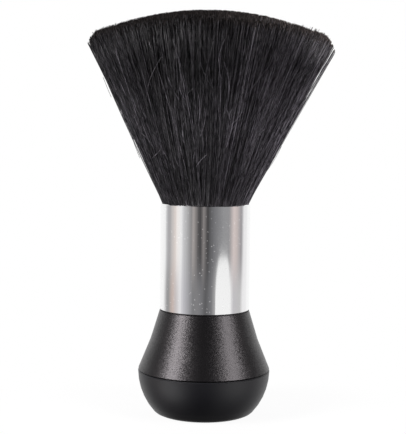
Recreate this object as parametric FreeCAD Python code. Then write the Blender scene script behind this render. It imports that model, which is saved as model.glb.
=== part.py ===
import FreeCAD, Part
import math
import os

# Neck duster brush: a flared head of black bristles set in a polished aluminium ferrule, on a
# weighted two-piece base that stands on its foot. The origin is the middle of the foot, +Z is up,
# and every size is in millimetres.

Vector = FreeCAD.Vector
UP = Vector(0, 0, 1)
CENTRE = Vector(0, 0, 0)
FULL_TURN = 360.0

# ---- driving sizes ------------------------------------------------------------------------------

# Ferrule: drawn tube with both ends turned smooth
FERRULE_DIAMETER = 38.0
FERRULE_WALL = 0.7
FERRULE_LENGTH = 44.8
FERRULE_CHAMFER = 0.3

# Base shell: the flared upper half of the base, with the spigot that the ferrule sits on
BASE_HEIGHT = 43.9
BASE_RADIUS = 28.0
FLARE_HOLLOW = 0.6
FLARE_STEPS = 2
SHELL_WALL = 2.0
SHELL_EDGE = 0.3
SHADOW_GAP = 0.4
SHADOW_DEPTH = 0.45
SPIGOT_LENGTH = 15.0
SPIGOT_WALL = 2.0
SPIGOT_FLOOR = 3.0
SHOULDER_THICKNESS = 3.0

# Hold-down ribs: they hang inside the shell and stop the weight from lifting off its pin
RIB_COUNT = 4
RIB_THICKNESS = 1.6
RIB_INNER_RADIUS = 11.0
RIB_FOOT_WIDTH = 4.0

# Foot cap: the smooth bowl under the shell, with a rounded heel round its flat foot
SEAM_HEIGHT = 18.5
SEAM_GAP = 0.3
BOWL_RADIUS = 26.0
HEEL_RADIUS = 3.9
BOWL_STEPS = 5
TURN_STEPS = 3
CAP_WALL = 2.2
CAP_FLOOR = 2.8
CAP_EDGE = 0.4
FOOT_RING_WIDTH = 3.7
FOOT_RECESS_DEPTH = 0.8
TONGUE_RADIUS = 24.1
TONGUE_HEIGHT = 5.0
TONGUE_WALL = 1.6
LOCATING_PIN_RADIUS = 2.8
LOCATING_PIN_HEIGHT = 6.0

# Ballast weight: a turned steel disc
WEIGHT_THICKNESS = 9.0

# Knot plug, and the resin cast on it that the bristle roots are potted in
PLUG_HEIGHT = 10.0
RESIN_THICKNESS = 7.6

# Screw and washer that draw the plug down onto the spigot
SCREW_RADIUS = 1.95
SCREW_LENGTH = 13.0
SCREW_HEAD_RADIUS = 3.9
SCREW_HEAD_HEIGHT = 2.6
RECESS_ARMS = 4
RECESS_WIDTH = 0.9
RECESS_REACH = 2.1
RECESS_DEPTH = 1.5
WASHER_RADIUS = 5.0
WASHER_THICKNESS = 1.0

# Bristle head: locks of hair in rings, flared from the ferrule's lip and trimmed to a dome
BRISTLE_RISE = 71.0
BRISTLE_RIM_RADIUS = 52.0
DOME_RISE = 10.0
RIM_ROUNDING = 3.0
CORE_RADIUS = 2.9
CORE_SIDES = 12
RING_NAMES = ["bristle_ring_inner", "bristle_ring_second", "bristle_ring_third", "bristle_ring_outer"]
RING_LOCK_COUNTS = [6, 12, 20, 30]
LOCK_GAP = 0.3
RING_GAP = 0.12
LOCK_BULGE = 0.3
RIM_STEPS = 3
TRIM_STEPS = 20

# Clearances
GLUE_LINE = 0.05
BOND_LINE = 0.02
SLIP_FIT = 0.1
SCREW_CLEARANCE = 0.25
WEIGHT_CLEARANCE = 2.8

# ---- sizes that follow ----------------------------------------------------------------------------

FERRULE_RADIUS = FERRULE_DIAMETER / 2
FERRULE_BORE = FERRULE_RADIUS - FERRULE_WALL
FERRULE_BOTTOM = BASE_HEIGHT + SHADOW_GAP
FERRULE_TOP = FERRULE_BOTTOM + FERRULE_LENGTH

SPIGOT_RADIUS = FERRULE_BORE - GLUE_LINE
SPIGOT_BORE = SPIGOT_RADIUS - SPIGOT_WALL
SPIGOT_TOP = FERRULE_BOTTOM + SPIGOT_LENGTH
SPIGOT_FLOOR_UNDER = SPIGOT_TOP - SPIGOT_FLOOR
SHOULDER_UNDER = BASE_HEIGHT - SHOULDER_THICKNESS
SHELL_BOTTOM = SEAM_HEIGHT + SEAM_GAP
SCREW_HOLE = SCREW_RADIUS + SCREW_CLEARANCE

TONGUE_TOP = SEAM_HEIGHT + TONGUE_HEIGHT
TONGUE_BORE = TONGUE_RADIUS - TONGUE_WALL
REGISTER_RADIUS = TONGUE_RADIUS + SLIP_FIT
REGISTER_TOP = TONGUE_TOP + SLIP_FIT

WEIGHT_BOTTOM = CAP_FLOOR
WEIGHT_TOP = WEIGHT_BOTTOM + WEIGHT_THICKNESS
WEIGHT_BORE = LOCATING_PIN_RADIUS + SLIP_FIT
RIB_FOOT = WEIGHT_TOP + SLIP_FIT

PLUG_RADIUS = FERRULE_BORE - BOND_LINE
PLUG_BOTTOM = SPIGOT_TOP
PLUG_TOP = PLUG_BOTTOM + PLUG_HEIGHT
RESIN_TOP = PLUG_TOP + RESIN_THICKNESS

WASHER_TOP = SPIGOT_FLOOR_UNDER
HEAD_TOP = WASHER_TOP - WASHER_THICKNESS
HEAD_BOTTOM = HEAD_TOP - SCREW_HEAD_HEIGHT
SCREW_TIP = HEAD_TOP + SCREW_LENGTH

KNOT_RADIUS = FERRULE_BORE - SLIP_FIT
RIM_HEIGHT = FERRULE_TOP + BRISTLE_RISE
CROWN_HEIGHT = RIM_HEIGHT + DOME_RISE
SPREAD = (BRISTLE_RIM_RADIUS / KNOT_RADIUS - 1) / BRISTLE_RISE


def spread_at(height):
    """How many times wider the head is at a height than in the ferrule's mouth."""
    return 1 + SPREAD * max(0.0, height - FERRULE_TOP)


# ---- drawing helpers: an outline is drawn as (radius, height) points and turned about Z -----------


def at(radius, height):
    return Vector(radius, 0, height)


def outline(*points):
    """A flat face inside a closed outline of straight edges, through (radius, height) points."""
    corners = [at(*point) for point in points]
    return Part.Face(Part.makePolygon(corners + corners[:1]))


def turned(*points):
    """The solid that an outline sweeps in one turn about Z."""
    return outline(*points).revolve(CENTRE, UP, FULL_TURN)


def stepped(start, end, count):
    """Values from start to end in equal steps: a round outline is cut into this many short edges."""
    return [start + (end - start) * step / count for step in range(count + 1)]


def around(shape, count):
    """Copies of a shape, evenly spaced about Z."""
    copies = []
    for number in range(count):
        copy = shape.copy()
        copy.rotate(CENTRE, UP, number * FULL_TURN / count)
        copies.append(copy)
    return copies


# ---- base -----------------------------------------------------------------------------------------


def flare_circle():
    """Centre and radius of the arc that the shell's side follows. It is hollow: the centre lies outside."""
    top = at(FERRULE_RADIUS, BASE_HEIGHT)
    bottom = at(BASE_RADIUS, SHELL_BOTTOM)
    chord = bottom - top
    radius = (chord.Length**2 / 4 + FLARE_HOLLOW**2) / (2 * FLARE_HOLLOW)
    outward = Vector(-chord.z, 0, chord.x).normalize()
    centre = (top + bottom) / 2 + outward * (radius - FLARE_HOLLOW)
    return centre, radius


FLARE_CENTRE, FLARE_CURVE = flare_circle()


def flare_radius(height, inset=0.0):
    """Radius of the shell's side at a height, or of a surface that lies inset under it."""
    rise = height - FLARE_CENTRE.z
    return FLARE_CENTRE.x - math.sqrt((FLARE_CURVE + inset) ** 2 - rise**2)


def shell_outline():
    rim = SHELL_BOTTOM + SHELL_EDGE
    ledge = FERRULE_RADIUS - SHADOW_DEPTH
    spigot = [
        (SCREW_HOLE, SPIGOT_TOP),
        (SPIGOT_RADIUS, SPIGOT_TOP),
        (SPIGOT_RADIUS, FERRULE_BOTTOM),
        (ledge, FERRULE_BOTTOM),
        (ledge, BASE_HEIGHT),
    ]
    flank = [(flare_radius(z), z) for z in stepped(BASE_HEIGHT, rim, FLARE_STEPS)]
    inside = [
        (flare_radius(SHELL_BOTTOM) - SHELL_EDGE, SHELL_BOTTOM),
        (REGISTER_RADIUS, SHELL_BOTTOM),
        (REGISTER_RADIUS, REGISTER_TOP),
        (flare_radius(SHOULDER_UNDER, SHELL_WALL), SHOULDER_UNDER),
        (SPIGOT_BORE, SHOULDER_UNDER),
        (SPIGOT_BORE, SPIGOT_FLOOR_UNDER),
        (SCREW_HOLE, SPIGOT_FLOOR_UNDER),
    ]
    return spigot + flank + inside


def hold_down_ribs():
    """Radial plates under the shoulder, each with a leg that reaches down to the weight."""
    leg = RIB_INNER_RADIUS + RIB_FOOT_WIDTH
    above_tongue = REGISTER_TOP + SLIP_FIT
    sunk = SHELL_WALL / 2
    side = outline(
        (flare_radius(SHOULDER_UNDER, sunk), SHOULDER_UNDER),
        (RIB_INNER_RADIUS, SHOULDER_UNDER),
        (RIB_INNER_RADIUS, RIB_FOOT),
        (leg, RIB_FOOT),
        (leg, above_tongue),
        (flare_radius(above_tongue, sunk), above_tongue),
    )
    plate = side.extrude(Vector(0, RIB_THICKNESS, 0))
    plate.translate(Vector(0, -RIB_THICKNESS / 2, 0))
    return around(plate, RIB_COUNT)


def base_shell():
    return turned(*shell_outline()).fuse(hold_down_ribs()).removeSplitter()


BOWL_MIDDLE = BASE_RADIUS - BOWL_RADIUS


def bowl_radius(height, inset=0.0):
    """Radius of the bowl's large arc at a height, or of a surface that lies inset within it."""
    return BOWL_MIDDLE + math.sqrt((BOWL_RADIUS - inset) ** 2 - (SEAM_HEIGHT - height) ** 2)


def bowl_height(radius, inset=0.0):
    return SEAM_HEIGHT - math.sqrt((BOWL_RADIUS - inset) ** 2 - (radius - BOWL_MIDDLE) ** 2)


# Where the heel, which is the small arc at the foot, meets the bowl's large arc without a corner
HEEL_MIDDLE = BOWL_MIDDLE + math.sqrt((BOWL_RADIUS - HEEL_RADIUS) ** 2 - (SEAM_HEIGHT - HEEL_RADIUS) ** 2)
HEEL_JOIN = math.atan2(SEAM_HEIGHT - HEEL_RADIUS, HEEL_MIDDLE - BOWL_MIDDLE)


def bowl_side():
    """Points up the bowl's side: round the heel from the foot, then up the large arc until it is upright."""
    heel = []
    for angle in stepped(math.pi / 2, HEEL_JOIN, TURN_STEPS):
        rise = HEEL_RADIUS * (1 - math.sin(angle))
        heel.append((HEEL_MIDDLE + HEEL_RADIUS * math.cos(angle), rise))
    belly = []
    for angle in stepped(HEEL_JOIN, math.asin(CAP_EDGE / BOWL_RADIUS), BOWL_STEPS):
        height = SEAM_HEIGHT - BOWL_RADIUS * math.sin(angle)
        belly.append((bowl_radius(height), height))
    return heel + belly[1:]


def foot_cap():
    recess = HEEL_MIDDLE - FOOT_RING_WIDTH
    underside = [
        (0, FOOT_RECESS_DEPTH),
        (recess, FOOT_RECESS_DEPTH),
        (recess, 0),
    ]
    tongue = [
        (BASE_RADIUS - CAP_EDGE, SEAM_HEIGHT),
        (TONGUE_RADIUS, SEAM_HEIGHT),
        (TONGUE_RADIUS, TONGUE_TOP),
        (TONGUE_BORE, TONGUE_TOP),
        (TONGUE_BORE, bowl_height(TONGUE_BORE, CAP_WALL)),
        (bowl_radius(CAP_FLOOR, CAP_WALL), CAP_FLOOR),
        (0, CAP_FLOOR),
    ]
    pin = Part.makeCylinder(LOCATING_PIN_RADIUS, LOCATING_PIN_HEIGHT, at(0, CAP_FLOOR))
    bowl = turned(*underside, *bowl_side(), *tongue)
    return bowl.fuse(pin).removeSplitter()


def ballast_weight():
    radius = bowl_radius(CAP_FLOOR, CAP_WALL) - WEIGHT_CLEARANCE
    return turned(
        (WEIGHT_BORE, WEIGHT_BOTTOM),
        (radius, WEIGHT_BOTTOM),
        (radius, WEIGHT_TOP),
        (WEIGHT_BORE, WEIGHT_TOP),
    )


# ---- ferrule and what it holds --------------------------------------------------------------------


def ferrule():
    rim = FERRULE_RADIUS - FERRULE_CHAMFER
    return turned(
        (FERRULE_BORE, FERRULE_BOTTOM),
        (rim, FERRULE_BOTTOM),
        (FERRULE_RADIUS, FERRULE_BOTTOM + FERRULE_CHAMFER),
        (FERRULE_RADIUS, FERRULE_TOP - FERRULE_CHAMFER),
        (rim, FERRULE_TOP),
        (FERRULE_BORE, FERRULE_TOP),
    )


def knot_plug():
    """The moulded disc that closes the ferrule under the knot, with a blind pilot hole for the screw."""
    pilot = SCREW_RADIUS + BOND_LINE
    pilot_end = SCREW_TIP + SLIP_FIT
    return turned(
        (pilot, PLUG_BOTTOM),
        (PLUG_RADIUS, PLUG_BOTTOM),
        (PLUG_RADIUS, PLUG_TOP),
        (0, PLUG_TOP),
        (0, pilot_end),
        (pilot, pilot_end),
    )


def knot_resin():
    """The potting resin: cast on the plug, with the bristle roots standing in its top."""
    return Part.makeCylinder(PLUG_RADIUS, RESIN_THICKNESS, at(0, PLUG_TOP))


def knot_screw():
    """Cheese-head screw, head down, with a cross recess."""
    body = turned(
        (0, HEAD_BOTTOM),
        (SCREW_HEAD_RADIUS, HEAD_BOTTOM),
        (SCREW_HEAD_RADIUS, HEAD_TOP),
        (SCREW_RADIUS, HEAD_TOP),
        (SCREW_RADIUS, SCREW_TIP),
        (0, SCREW_TIP),
    )
    corner = Vector(0, -RECESS_WIDTH / 2, HEAD_BOTTOM)
    arm = Part.makeBox(RECESS_REACH, RECESS_WIDTH, RECESS_DEPTH, corner)
    return body.cut(around(arm, RECESS_ARMS))


def screw_washer():
    return turned(
        (SCREW_HOLE, HEAD_TOP),
        (WASHER_RADIUS, HEAD_TOP),
        (WASHER_RADIUS, WASHER_TOP),
        (SCREW_HOLE, WASHER_TOP),
    )


# ---- bristle head ---------------------------------------------------------------------------------


def tip_point(root_radius):
    """(radius, height) where a bristle from that radius in the ferrule's mouth meets the trimmed dome."""
    dome_radius = (BRISTLE_RIM_RADIUS**2 + DOME_RISE**2) / (2 * DOME_RISE)
    height = CROWN_HEIGHT
    for _ in range(TRIM_STEPS):
        radius = root_radius * spread_at(height)
        height = CROWN_HEIGHT - dome_radius + math.sqrt(dome_radius**2 - radius**2)
    return radius, height


def rounded_rim(root_radius):
    """Points down the rounded corner between the dome and the head's side: a curve cut into short steps."""
    corner = Vector(root_radius, 0, tip_point(root_radius)[1])
    share = 1 - RIM_ROUNDING / BRISTLE_RIM_RADIUS
    above = Vector(root_radius * share, 0, tip_point(root_radius * share)[1])
    below = corner - Vector(0, 0, RIM_ROUNDING)
    points = []
    for step in range(RIM_STEPS + 1):
        t = step / RIM_STEPS
        point = above * (1 - t) ** 2 + corner * (2 * t * (1 - t)) + below * t**2
        points.append((point.x, point.z))
    return points


def lock_profile(inner, outer, is_rim):
    """(root radius, height) round a lock's side: up its back, over the dome and down its front."""
    back = [(inner, FERRULE_TOP), (inner, tip_point(inner)[1])]
    top = rounded_rim(outer) if is_rim else [(outer, tip_point(outer)[1])]
    return back + top + [(outer, FERRULE_TOP)]


def lock_side(inner, outer, is_rim, angle):
    """The lock's profile, set at an angle round the head and spread by the flare."""
    points = []
    for radius, height in lock_profile(inner, outer, is_rim):
        reach = radius * spread_at(height)
        points.append(Vector(reach * math.cos(angle), reach * math.sin(angle), height))
    return points


def flat_face(*corners):
    return Part.Face(Part.makePolygon(list(corners) + [corners[0]]))


def skinned(sides):
    """A solid through a row of matching outlines, with a flat face on the first and on the last."""
    faces = [flat_face(*sides[0]), flat_face(*sides[-1])]
    for near, far in zip(sides, sides[1:]):
        for number in range(len(near)):
            a, b = near[number - 1], near[number]
            c, d = far[number], far[number - 1]
            faces += [flat_face(a, b, c), flat_face(a, c, d)]
    solid = Part.Solid(Part.makeShell(faces))
    if solid.Volume < 0:
        solid.reverse()
    return solid


def lock(inner, outer, count, is_rim):
    """One lock: radial sides with a gap to its neighbours, and a ridge down the middle of its front."""
    edge = outer - LOCK_BULGE
    half = math.pi / count - math.asin(LOCK_GAP / 2 / outer)
    sides = [
        lock_side(inner, edge, is_rim, -half),
        lock_side(inner, outer, is_rim, 0.0),
        lock_side(inner, edge, is_rim, half),
    ]
    return skinned(sides)


def corners_around(radius, height, count):
    """Corners of a level polygon about the axis."""
    corners = []
    for number in range(count):
        angle = math.tau * number / count
        corners.append(Vector(radius * math.cos(angle), radius * math.sin(angle), height))
    return corners


def bristle_core():
    """The middle lock: many-sided, from the knot up to the crown."""
    radius = CORE_RADIUS - RING_GAP
    base = corners_around(radius, FERRULE_TOP, CORE_SIDES)
    rim = corners_around(*tip_point(radius), CORE_SIDES)
    crown = at(0, CROWN_HEIGHT)
    faces = [flat_face(*base)]
    for number in range(CORE_SIDES):
        faces.append(flat_face(base[number - 1], base[number], rim[number], rim[number - 1]))
        faces.append(flat_face(rim[number - 1], rim[number], crown))
    solid = Part.Solid(Part.makeShell(faces))
    if solid.Volume < 0:
        solid.reverse()
    return solid


def bristle_roots():
    """The straight part of the bristles, bound in one bundle between the resin and the ferrule's lip."""
    bundle = flat_face(*corners_around(KNOT_RADIUS, RESIN_TOP, RING_LOCK_COUNTS[-1]))
    return bundle.extrude(UP * (FERRULE_TOP - RESIN_TOP))


def bristle_head():
    """The core and the rings round it, sized so that each ring has the same depth."""
    depth = (KNOT_RADIUS - CORE_RADIUS) / len(RING_NAMES)
    parts = {"bristle_roots": bristle_roots(), "bristle_core": bristle_core()}
    inner = CORE_RADIUS
    for name, count in zip(RING_NAMES, RING_LOCK_COUNTS):
        is_rim = name == RING_NAMES[-1]
        one = lock(inner, inner + depth - RING_GAP, count, is_rim)
        parts[name] = Part.makeCompound(around(one, count))
        inner += depth
    return parts


# ---- export ---------------------------------------------------------------------------------------


def build():
    parts = {
        "ferrule": ferrule(),
        "base_shell": base_shell(),
        "foot_cap": foot_cap(),
        "ballast_weight": ballast_weight(),
        "knot_plug": knot_plug(),
        "knot_resin": knot_resin(),
        "knot_screw": knot_screw(),
        "screw_washer": screw_washer(),
    }
    parts.update(bristle_head())
    return parts


def main():
    os.makedirs("parts", exist_ok=True)
    for name, shape in build().items():
        shape.exportStep("parts/" + name + ".step")
        box = shape.BoundBox
        print(f"{name}: {len(shape.Solids)} solid(s), {shape.Volume:.0f} mm3, valid {shape.isValid()},"
              f" {box.XLength:.1f} x {box.YLength:.1f} x {box.ZLength:.1f} mm")


main()
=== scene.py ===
# %% [markdown]
# # A neck duster brush
# A barber uses this brush to sweep cut hair off a client's neck. It stands upright on a weighted
# base: a smooth foot cap, a flared shell above it, an aluminium ferrule, and a head of long black
# bristles that fans out of the ferrule and is trimmed to a low dome.
#
# The hard parts come from the CAD frame and only get materials here. The bristles are modelled
# here, hair by hair, because a soft mass of hair has no shape that a CAD solid could show.

# %% Load the frame
import math

import bpy
import numpy as np
from mathutils import Euler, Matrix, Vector


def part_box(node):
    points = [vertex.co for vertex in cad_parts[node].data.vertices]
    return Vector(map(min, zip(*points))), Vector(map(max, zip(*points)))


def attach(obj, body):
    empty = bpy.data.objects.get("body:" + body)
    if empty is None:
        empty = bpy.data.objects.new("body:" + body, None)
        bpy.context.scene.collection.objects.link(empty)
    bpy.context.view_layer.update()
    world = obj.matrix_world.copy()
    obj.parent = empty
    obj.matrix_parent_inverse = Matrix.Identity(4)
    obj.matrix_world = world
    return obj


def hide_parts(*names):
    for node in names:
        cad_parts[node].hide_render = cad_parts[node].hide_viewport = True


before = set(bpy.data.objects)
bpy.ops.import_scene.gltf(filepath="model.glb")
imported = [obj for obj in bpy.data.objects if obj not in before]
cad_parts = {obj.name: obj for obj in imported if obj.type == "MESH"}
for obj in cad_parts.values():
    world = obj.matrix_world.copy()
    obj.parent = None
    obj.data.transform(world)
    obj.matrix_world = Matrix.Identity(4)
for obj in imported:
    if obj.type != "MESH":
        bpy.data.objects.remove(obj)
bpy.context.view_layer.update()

# %% [markdown]
# ## Measures taken from the frame
# Everything that this script builds is placed from the CAD parts. The hair needs the ferrule's lip,
# the width of the root bundle in it, and the rim and crown of the trimmed head.
#
# Loose hair isn't as firm as the solids that stand for it. Some tips reach a little past the rim,
# and the crown has settled with use, so the dome gets its own rise from the rim to the crown.

# %% Measures
MM = 0.001
RIM_FRINGE = 0.7 * MM
CROWN_SETTLED = 1.4 * MM
DOME_RISE = 12.2 * MM

ferrule_low, ferrule_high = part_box("ferrule")
roots_low, roots_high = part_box("bristle_roots")
rim_low, rim_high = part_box("bristle_ring_outer")
core_low, core_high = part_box("bristle_core")

root_height = roots_low[2]
lip_height = ferrule_high[2]
mouth_radius = roots_high[0]
rim_radius = rim_high[0] + RIM_FRINGE
crown_height = core_high[2] - CROWN_SETTLED
rim_height = crown_height - DOME_RISE
print(f"lip {lip_height / MM:.1f} mm, mouth {mouth_radius / MM:.1f} mm, rim {rim_radius / MM:.1f} mm")

# %% [markdown]
# ## Two small helpers
# Colours are easiest to write as the hex values of a colour picker, but Blender works with linear
# light, so one function converts them. The other function adds one node to a tree: its settings are
# given by name, and each input is either a plain value or the output of another node. A colour
# ramp's stops are given as positions and colours.

# %% Helpers for materials
def linear(hex_colour):
    """An sRGB colour such as '1c1c20' as linear red, green, blue and alpha."""
    channels = [int(hex_colour[i : i + 2], 16) / 255 for i in (0, 2, 4)]
    light = [c / 12.92 if c <= 0.04045 else ((c + 0.055) / 1.055) ** 2.4 for c in channels]
    return (*light, 1.0)


def add(tree, kind, inputs=None, stops=(), **settings):
    """Adds a node of a kind. Settings go by name, and inputs are values or other nodes' outputs."""
    node = tree.nodes.new(kind if "Node" in kind else "ShaderNode" + kind)
    for name, value in settings.items():
        setattr(node, name, value)
    for name, value in (inputs or {}).items():
        if isinstance(value, bpy.types.NodeSocket):
            tree.links.new(value, node.inputs[name])
        else:
            node.inputs[name].default_value = value
    if stops:
        elements = node.color_ramp.elements
        while len(elements) < len(stops):
            elements.new(0.5)
        for element, (position, colour) in zip(elements, stops):
            element.position = position
            element.color = colour
    return node


def new_material(name):
    """An empty material and its node tree."""
    material = bpy.data.materials.new(name)
    material.use_nodes = True
    material.node_tree.nodes.clear()
    return material, material.node_tree


def paint(node_name, material):
    """Gives a CAD node its material."""
    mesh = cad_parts[node_name].data
    mesh.materials.clear()
    mesh.materials.append(material)


# %% [markdown]
# ## Smooth turned surfaces
# The flare and the bowl of the base are smooth curves on the real object. The CAD model has them as a
# few short cones. Their outline is close enough, but light would break at every cone. A modifier
# shades them as one surface: it joins the cones along their shared edges, and keeps a crease only
# where the surface really bends, as at the seam and the foot. A modifier leaves the mesh itself as
# the CAD made it, which editing the normals by hand would not.

# %% Smooth shading with creases
CREASE_ANGLE = 26
JOIN_WITHIN = 0.001 * MM


def smooth_turned(node_name):
    """Shades a turned piece smoothly, with a crease at each edge that bends more than the angle."""
    tree = bpy.data.node_groups.new("smooth " + node_name, "GeometryNodeTree")
    tree.interface.new_socket("Geometry", in_out="INPUT", socket_type="NodeSocketGeometry")
    tree.interface.new_socket("Geometry", in_out="OUTPUT", socket_type="NodeSocketGeometry")
    given = add(tree, "NodeGroupInput").outputs[0]
    bare = add(tree, "GeometryNodeRemoveAttribute", {0: given, "Name": "custom_normal"}).outputs[0]
    joined = add(tree, "GeometryNodeMergeByDistance", {0: bare, "Distance": JOIN_WITHIN}).outputs[0]
    shaded = joined
    for domain in ("FACE", "EDGE"):
        smooth = {0: shaded, "Shade Smooth": True}
        shaded = add(tree, "GeometryNodeSetShadeSmooth", smooth, domain=domain).outputs[0]
    angle = add(tree, "GeometryNodeInputMeshEdgeAngle").outputs["Unsigned Angle"]
    bent = add(tree, "Math", {0: angle, 1: math.radians(CREASE_ANGLE)}, operation="GREATER_THAN")
    creased = add(
        tree,
        "GeometryNodeSetShadeSmooth",
        {0: shaded, "Selection": bent.outputs[0], "Shade Smooth": False},
        domain="EDGE",
    )
    add(tree, "NodeGroupOutput", {0: creased.outputs[0]})
    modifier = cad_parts[node_name].modifiers.new("smooth", "NODES")
    modifier.node_group = tree


for turned in ("base_shell", "foot_cap"):
    smooth_turned(turned)
print("Smoothed the base")

# %% [markdown]
# ## The ferrule's metal
# The ferrule is a drawn aluminium tube, polished and clear anodised. Such a surface is a soft mirror:
# it shows the room as long upright bands, a little blurred by the fine haze of the anodising. Metal
# has no colour of its own under the reflection, so metallic is 1 and the base colour is aluminium's
# own light grey. Drawing leaves fine lines along the tube, and handling leaves scuffs and dust. Both
# are too fine to show at their real size of some 20 micrometres, so the lines are drawn 0.7 mm apart
# and the specks 0.2 to 0.8 mm wide.

# %% Polished anodised aluminium
SCUFF_SIZE = 11.1 * MM
LINE_SPACING = 0.6667 * MM
LINE_STRETCH = 0.015
LINE_DEPTH = 0.02 * MM
SPECK_SPACING = 1.613 * MM
DUSTY_PATCH = 14.3 * MM
SPECK_DULLNESS = 0.22


def drawn_lines(tree, place):
    """Normals with fine lines along the tube: noise that is stretched until it is many centimetres long."""
    stretched = add(tree, "Mapping", {"Vector": place, "Scale": (1.0, 1.0, LINE_STRETCH)}).outputs[0]
    lines = add(
        tree,
        "TexNoise",
        {"Vector": stretched, "Scale": 1 / LINE_SPACING, "Detail": 2.0, "Roughness": 0.7},
    )
    bump = add(tree, "Bump", {"Height": lines.outputs["Fac"], "Strength": 0.6, "Distance": LINE_DEPTH})
    return bump.outputs["Normal"]


def dusty_metal(tree, place):
    """Metallic share: 1, and less in specks of dust, which lie closer together in some patches."""
    specks = add(tree, "TexVoronoi", {"Vector": place, "Scale": 1 / SPECK_SPACING, "Randomness": 1.0})
    patches = add(tree, "TexNoise", {"Vector": place, "Scale": 1 / DUSTY_PATCH, "Detail": 2.0})
    width = add(
        tree,
        "MapRange",
        {"Value": patches.outputs["Fac"], "From Min": 0.4, "From Max": 0.7, "To Min": 0.08, "To Max": 0.25},
    )
    inside = {0: specks.outputs["Distance"], 1: width.outputs["Result"]}
    speck = add(tree, "Math", inside, operation="LESS_THAN")
    dull = add(tree, "Math", {0: speck.outputs[0], 1: SPECK_DULLNESS}, operation="MULTIPLY")
    return add(tree, "Math", {0: 1.0, 1: dull.outputs[0]}, operation="SUBTRACT").outputs[0]


# %% Paint the ferrule
def polished_aluminium():
    material, tree = new_material("polished anodised aluminium")
    place = add(tree, "TexCoord").outputs["Object"]
    scuffs = add(
        tree, "TexNoise", {"Vector": place, "Scale": 1 / SCUFF_SIZE, "Detail": 5.0, "Roughness": 0.65}
    )
    gloss = add(
        tree,
        "MapRange",
        {"Value": scuffs.outputs["Fac"], "From Min": 0.35, "From Max": 0.7, "To Min": 0.035, "To Max": 0.07},
    )
    surface = add(
        tree,
        "BsdfPrincipled",
        {
            "Base Color": linear("f4f4f4"),
            "Metallic": dusty_metal(tree, place),
            "Roughness": gloss.outputs["Result"],
            "Normal": drawn_lines(tree, place),
        },
    )
    add(tree, "OutputMaterial", {"Surface": surface.outputs["BSDF"]})
    return material


paint("ferrule", polished_aluminium())
print("Painted the ferrule")

# %% [markdown]
# ## The shell's plastic
# The shell is moulded ABS filled with fine metal flake. From a distance it is a soft black; close to,
# it glitters a little, because each flake lies at its own angle and catches the light on its own. An
# image could hold such a grain, but a Voronoi pattern makes it at any size: every cell is a flake and
# gets its own tilt. The cells are 0.21 mm wide, coarser than the real 0.1 mm, so that they show.

# %% Flaked ABS
FLAKE_WIDTH = 0.21 * MM
FLAKE_TILT = 0.17


def flaked_abs():
    material, tree = new_material("moulded ABS with metal flake")
    place = add(tree, "TexCoord").outputs["Object"]
    flakes = add(tree, "TexVoronoi", {"Vector": place, "Scale": 1 / FLAKE_WIDTH}).outputs["Color"]
    turned_by = add(tree, "VectorMath", {0: flakes, 1: (0.5, 0.5, 0.5)}, operation="SUBTRACT")
    tilt = add(tree, "VectorMath", {0: turned_by.outputs[0], "Scale": FLAKE_TILT}, operation="SCALE")
    facing = add(tree, "NewGeometry").outputs["Normal"]
    tilted = add(tree, "VectorMath", {0: facing, 1: tilt.outputs[0]}, operation="ADD")
    normal = add(tree, "VectorMath", {0: tilted.outputs[0]}, operation="NORMALIZE")
    shade = add(tree, "SeparateColor", {"Color": flakes})
    colour = add(
        tree,
        "Mix",
        {"Factor": shade.outputs["Red"], "A": linear("050506"), "B": linear("0b0a0c")},
        data_type="RGBA",
    )
    surface = add(
        tree,
        "BsdfPrincipled",
        {
            "Base Color": colour.outputs[2],
            "Roughness": 0.35,
            "IOR": 1.5,
            "Specular Tint": linear("fffafc"),
            "Normal": normal.outputs[0],
        },
    )
    add(tree, "OutputMaterial", {"Surface": surface.outputs["BSDF"]})
    return material


paint("base_shell", flaked_abs())
print("Painted the shell")

# %% [markdown]
# ## The foot cap's plastic
# The foot cap is the same black ABS without flake. Its mould was finely blasted, which leaves a satin
# skin: highlights on it are broad and dim. The skin's grain is a shallow bump 0.7 mm wide, again
# coarser than the real one.

# %% Satin ABS
SKIN_GRAIN = 0.6667 * MM
SKIN_DEPTH = 0.1 * MM


def satin_abs():
    material, tree = new_material("moulded ABS, satin black")
    place = add(tree, "TexCoord").outputs["Object"]
    skin = add(tree, "TexNoise", {"Vector": place, "Scale": 1 / SKIN_GRAIN, "Detail": 2.0})
    bump = add(tree, "Bump", {"Height": skin.outputs["Fac"], "Strength": 0.04, "Distance": SKIN_DEPTH})
    surface = add(
        tree,
        "BsdfPrincipled",
        {
            "Base Color": linear("08080e"),
            "Roughness": 0.44,
            "IOR": 1.5,
            "Normal": bump.outputs["Normal"],
        },
    )
    add(tree, "OutputMaterial", {"Surface": surface.outputs["BSDF"]})
    return material


paint("foot_cap", satin_abs())
print("Painted the foot cap")

# %% [markdown]
# ## The parts inside
# Nobody sees the weight, the screw, its washer, the plug and the resin until the brush is opened,
# but each still gets what it is made of: turned steel, zinc plate, grey nylon and amber epoxy. Each
# has a grain of its own size, which makes it a little duller in some spots than in others.

# %% Inner parts
GLOSS_SPREAD = 0.08


def grained(name, colour, metallic, roughness, grain):
    """A material with one colour and a grain of a given width that changes its roughness a little."""
    material, tree = new_material(name)
    place = add(tree, "TexCoord").outputs["Object"]
    noise = add(tree, "TexNoise", {"Vector": place, "Scale": 1 / grain, "Detail": 3.0}).outputs["Fac"]
    rough = add(
        tree,
        "MapRange",
        {"Value": noise, "To Min": roughness - GLOSS_SPREAD, "To Max": roughness + GLOSS_SPREAD},
    )
    surface = add(
        tree,
        "BsdfPrincipled",
        {"Base Color": linear(colour), "Metallic": metallic, "Roughness": rough.outputs["Result"]},
    )
    add(tree, "OutputMaterial", {"Surface": surface.outputs["BSDF"]})
    return material


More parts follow.
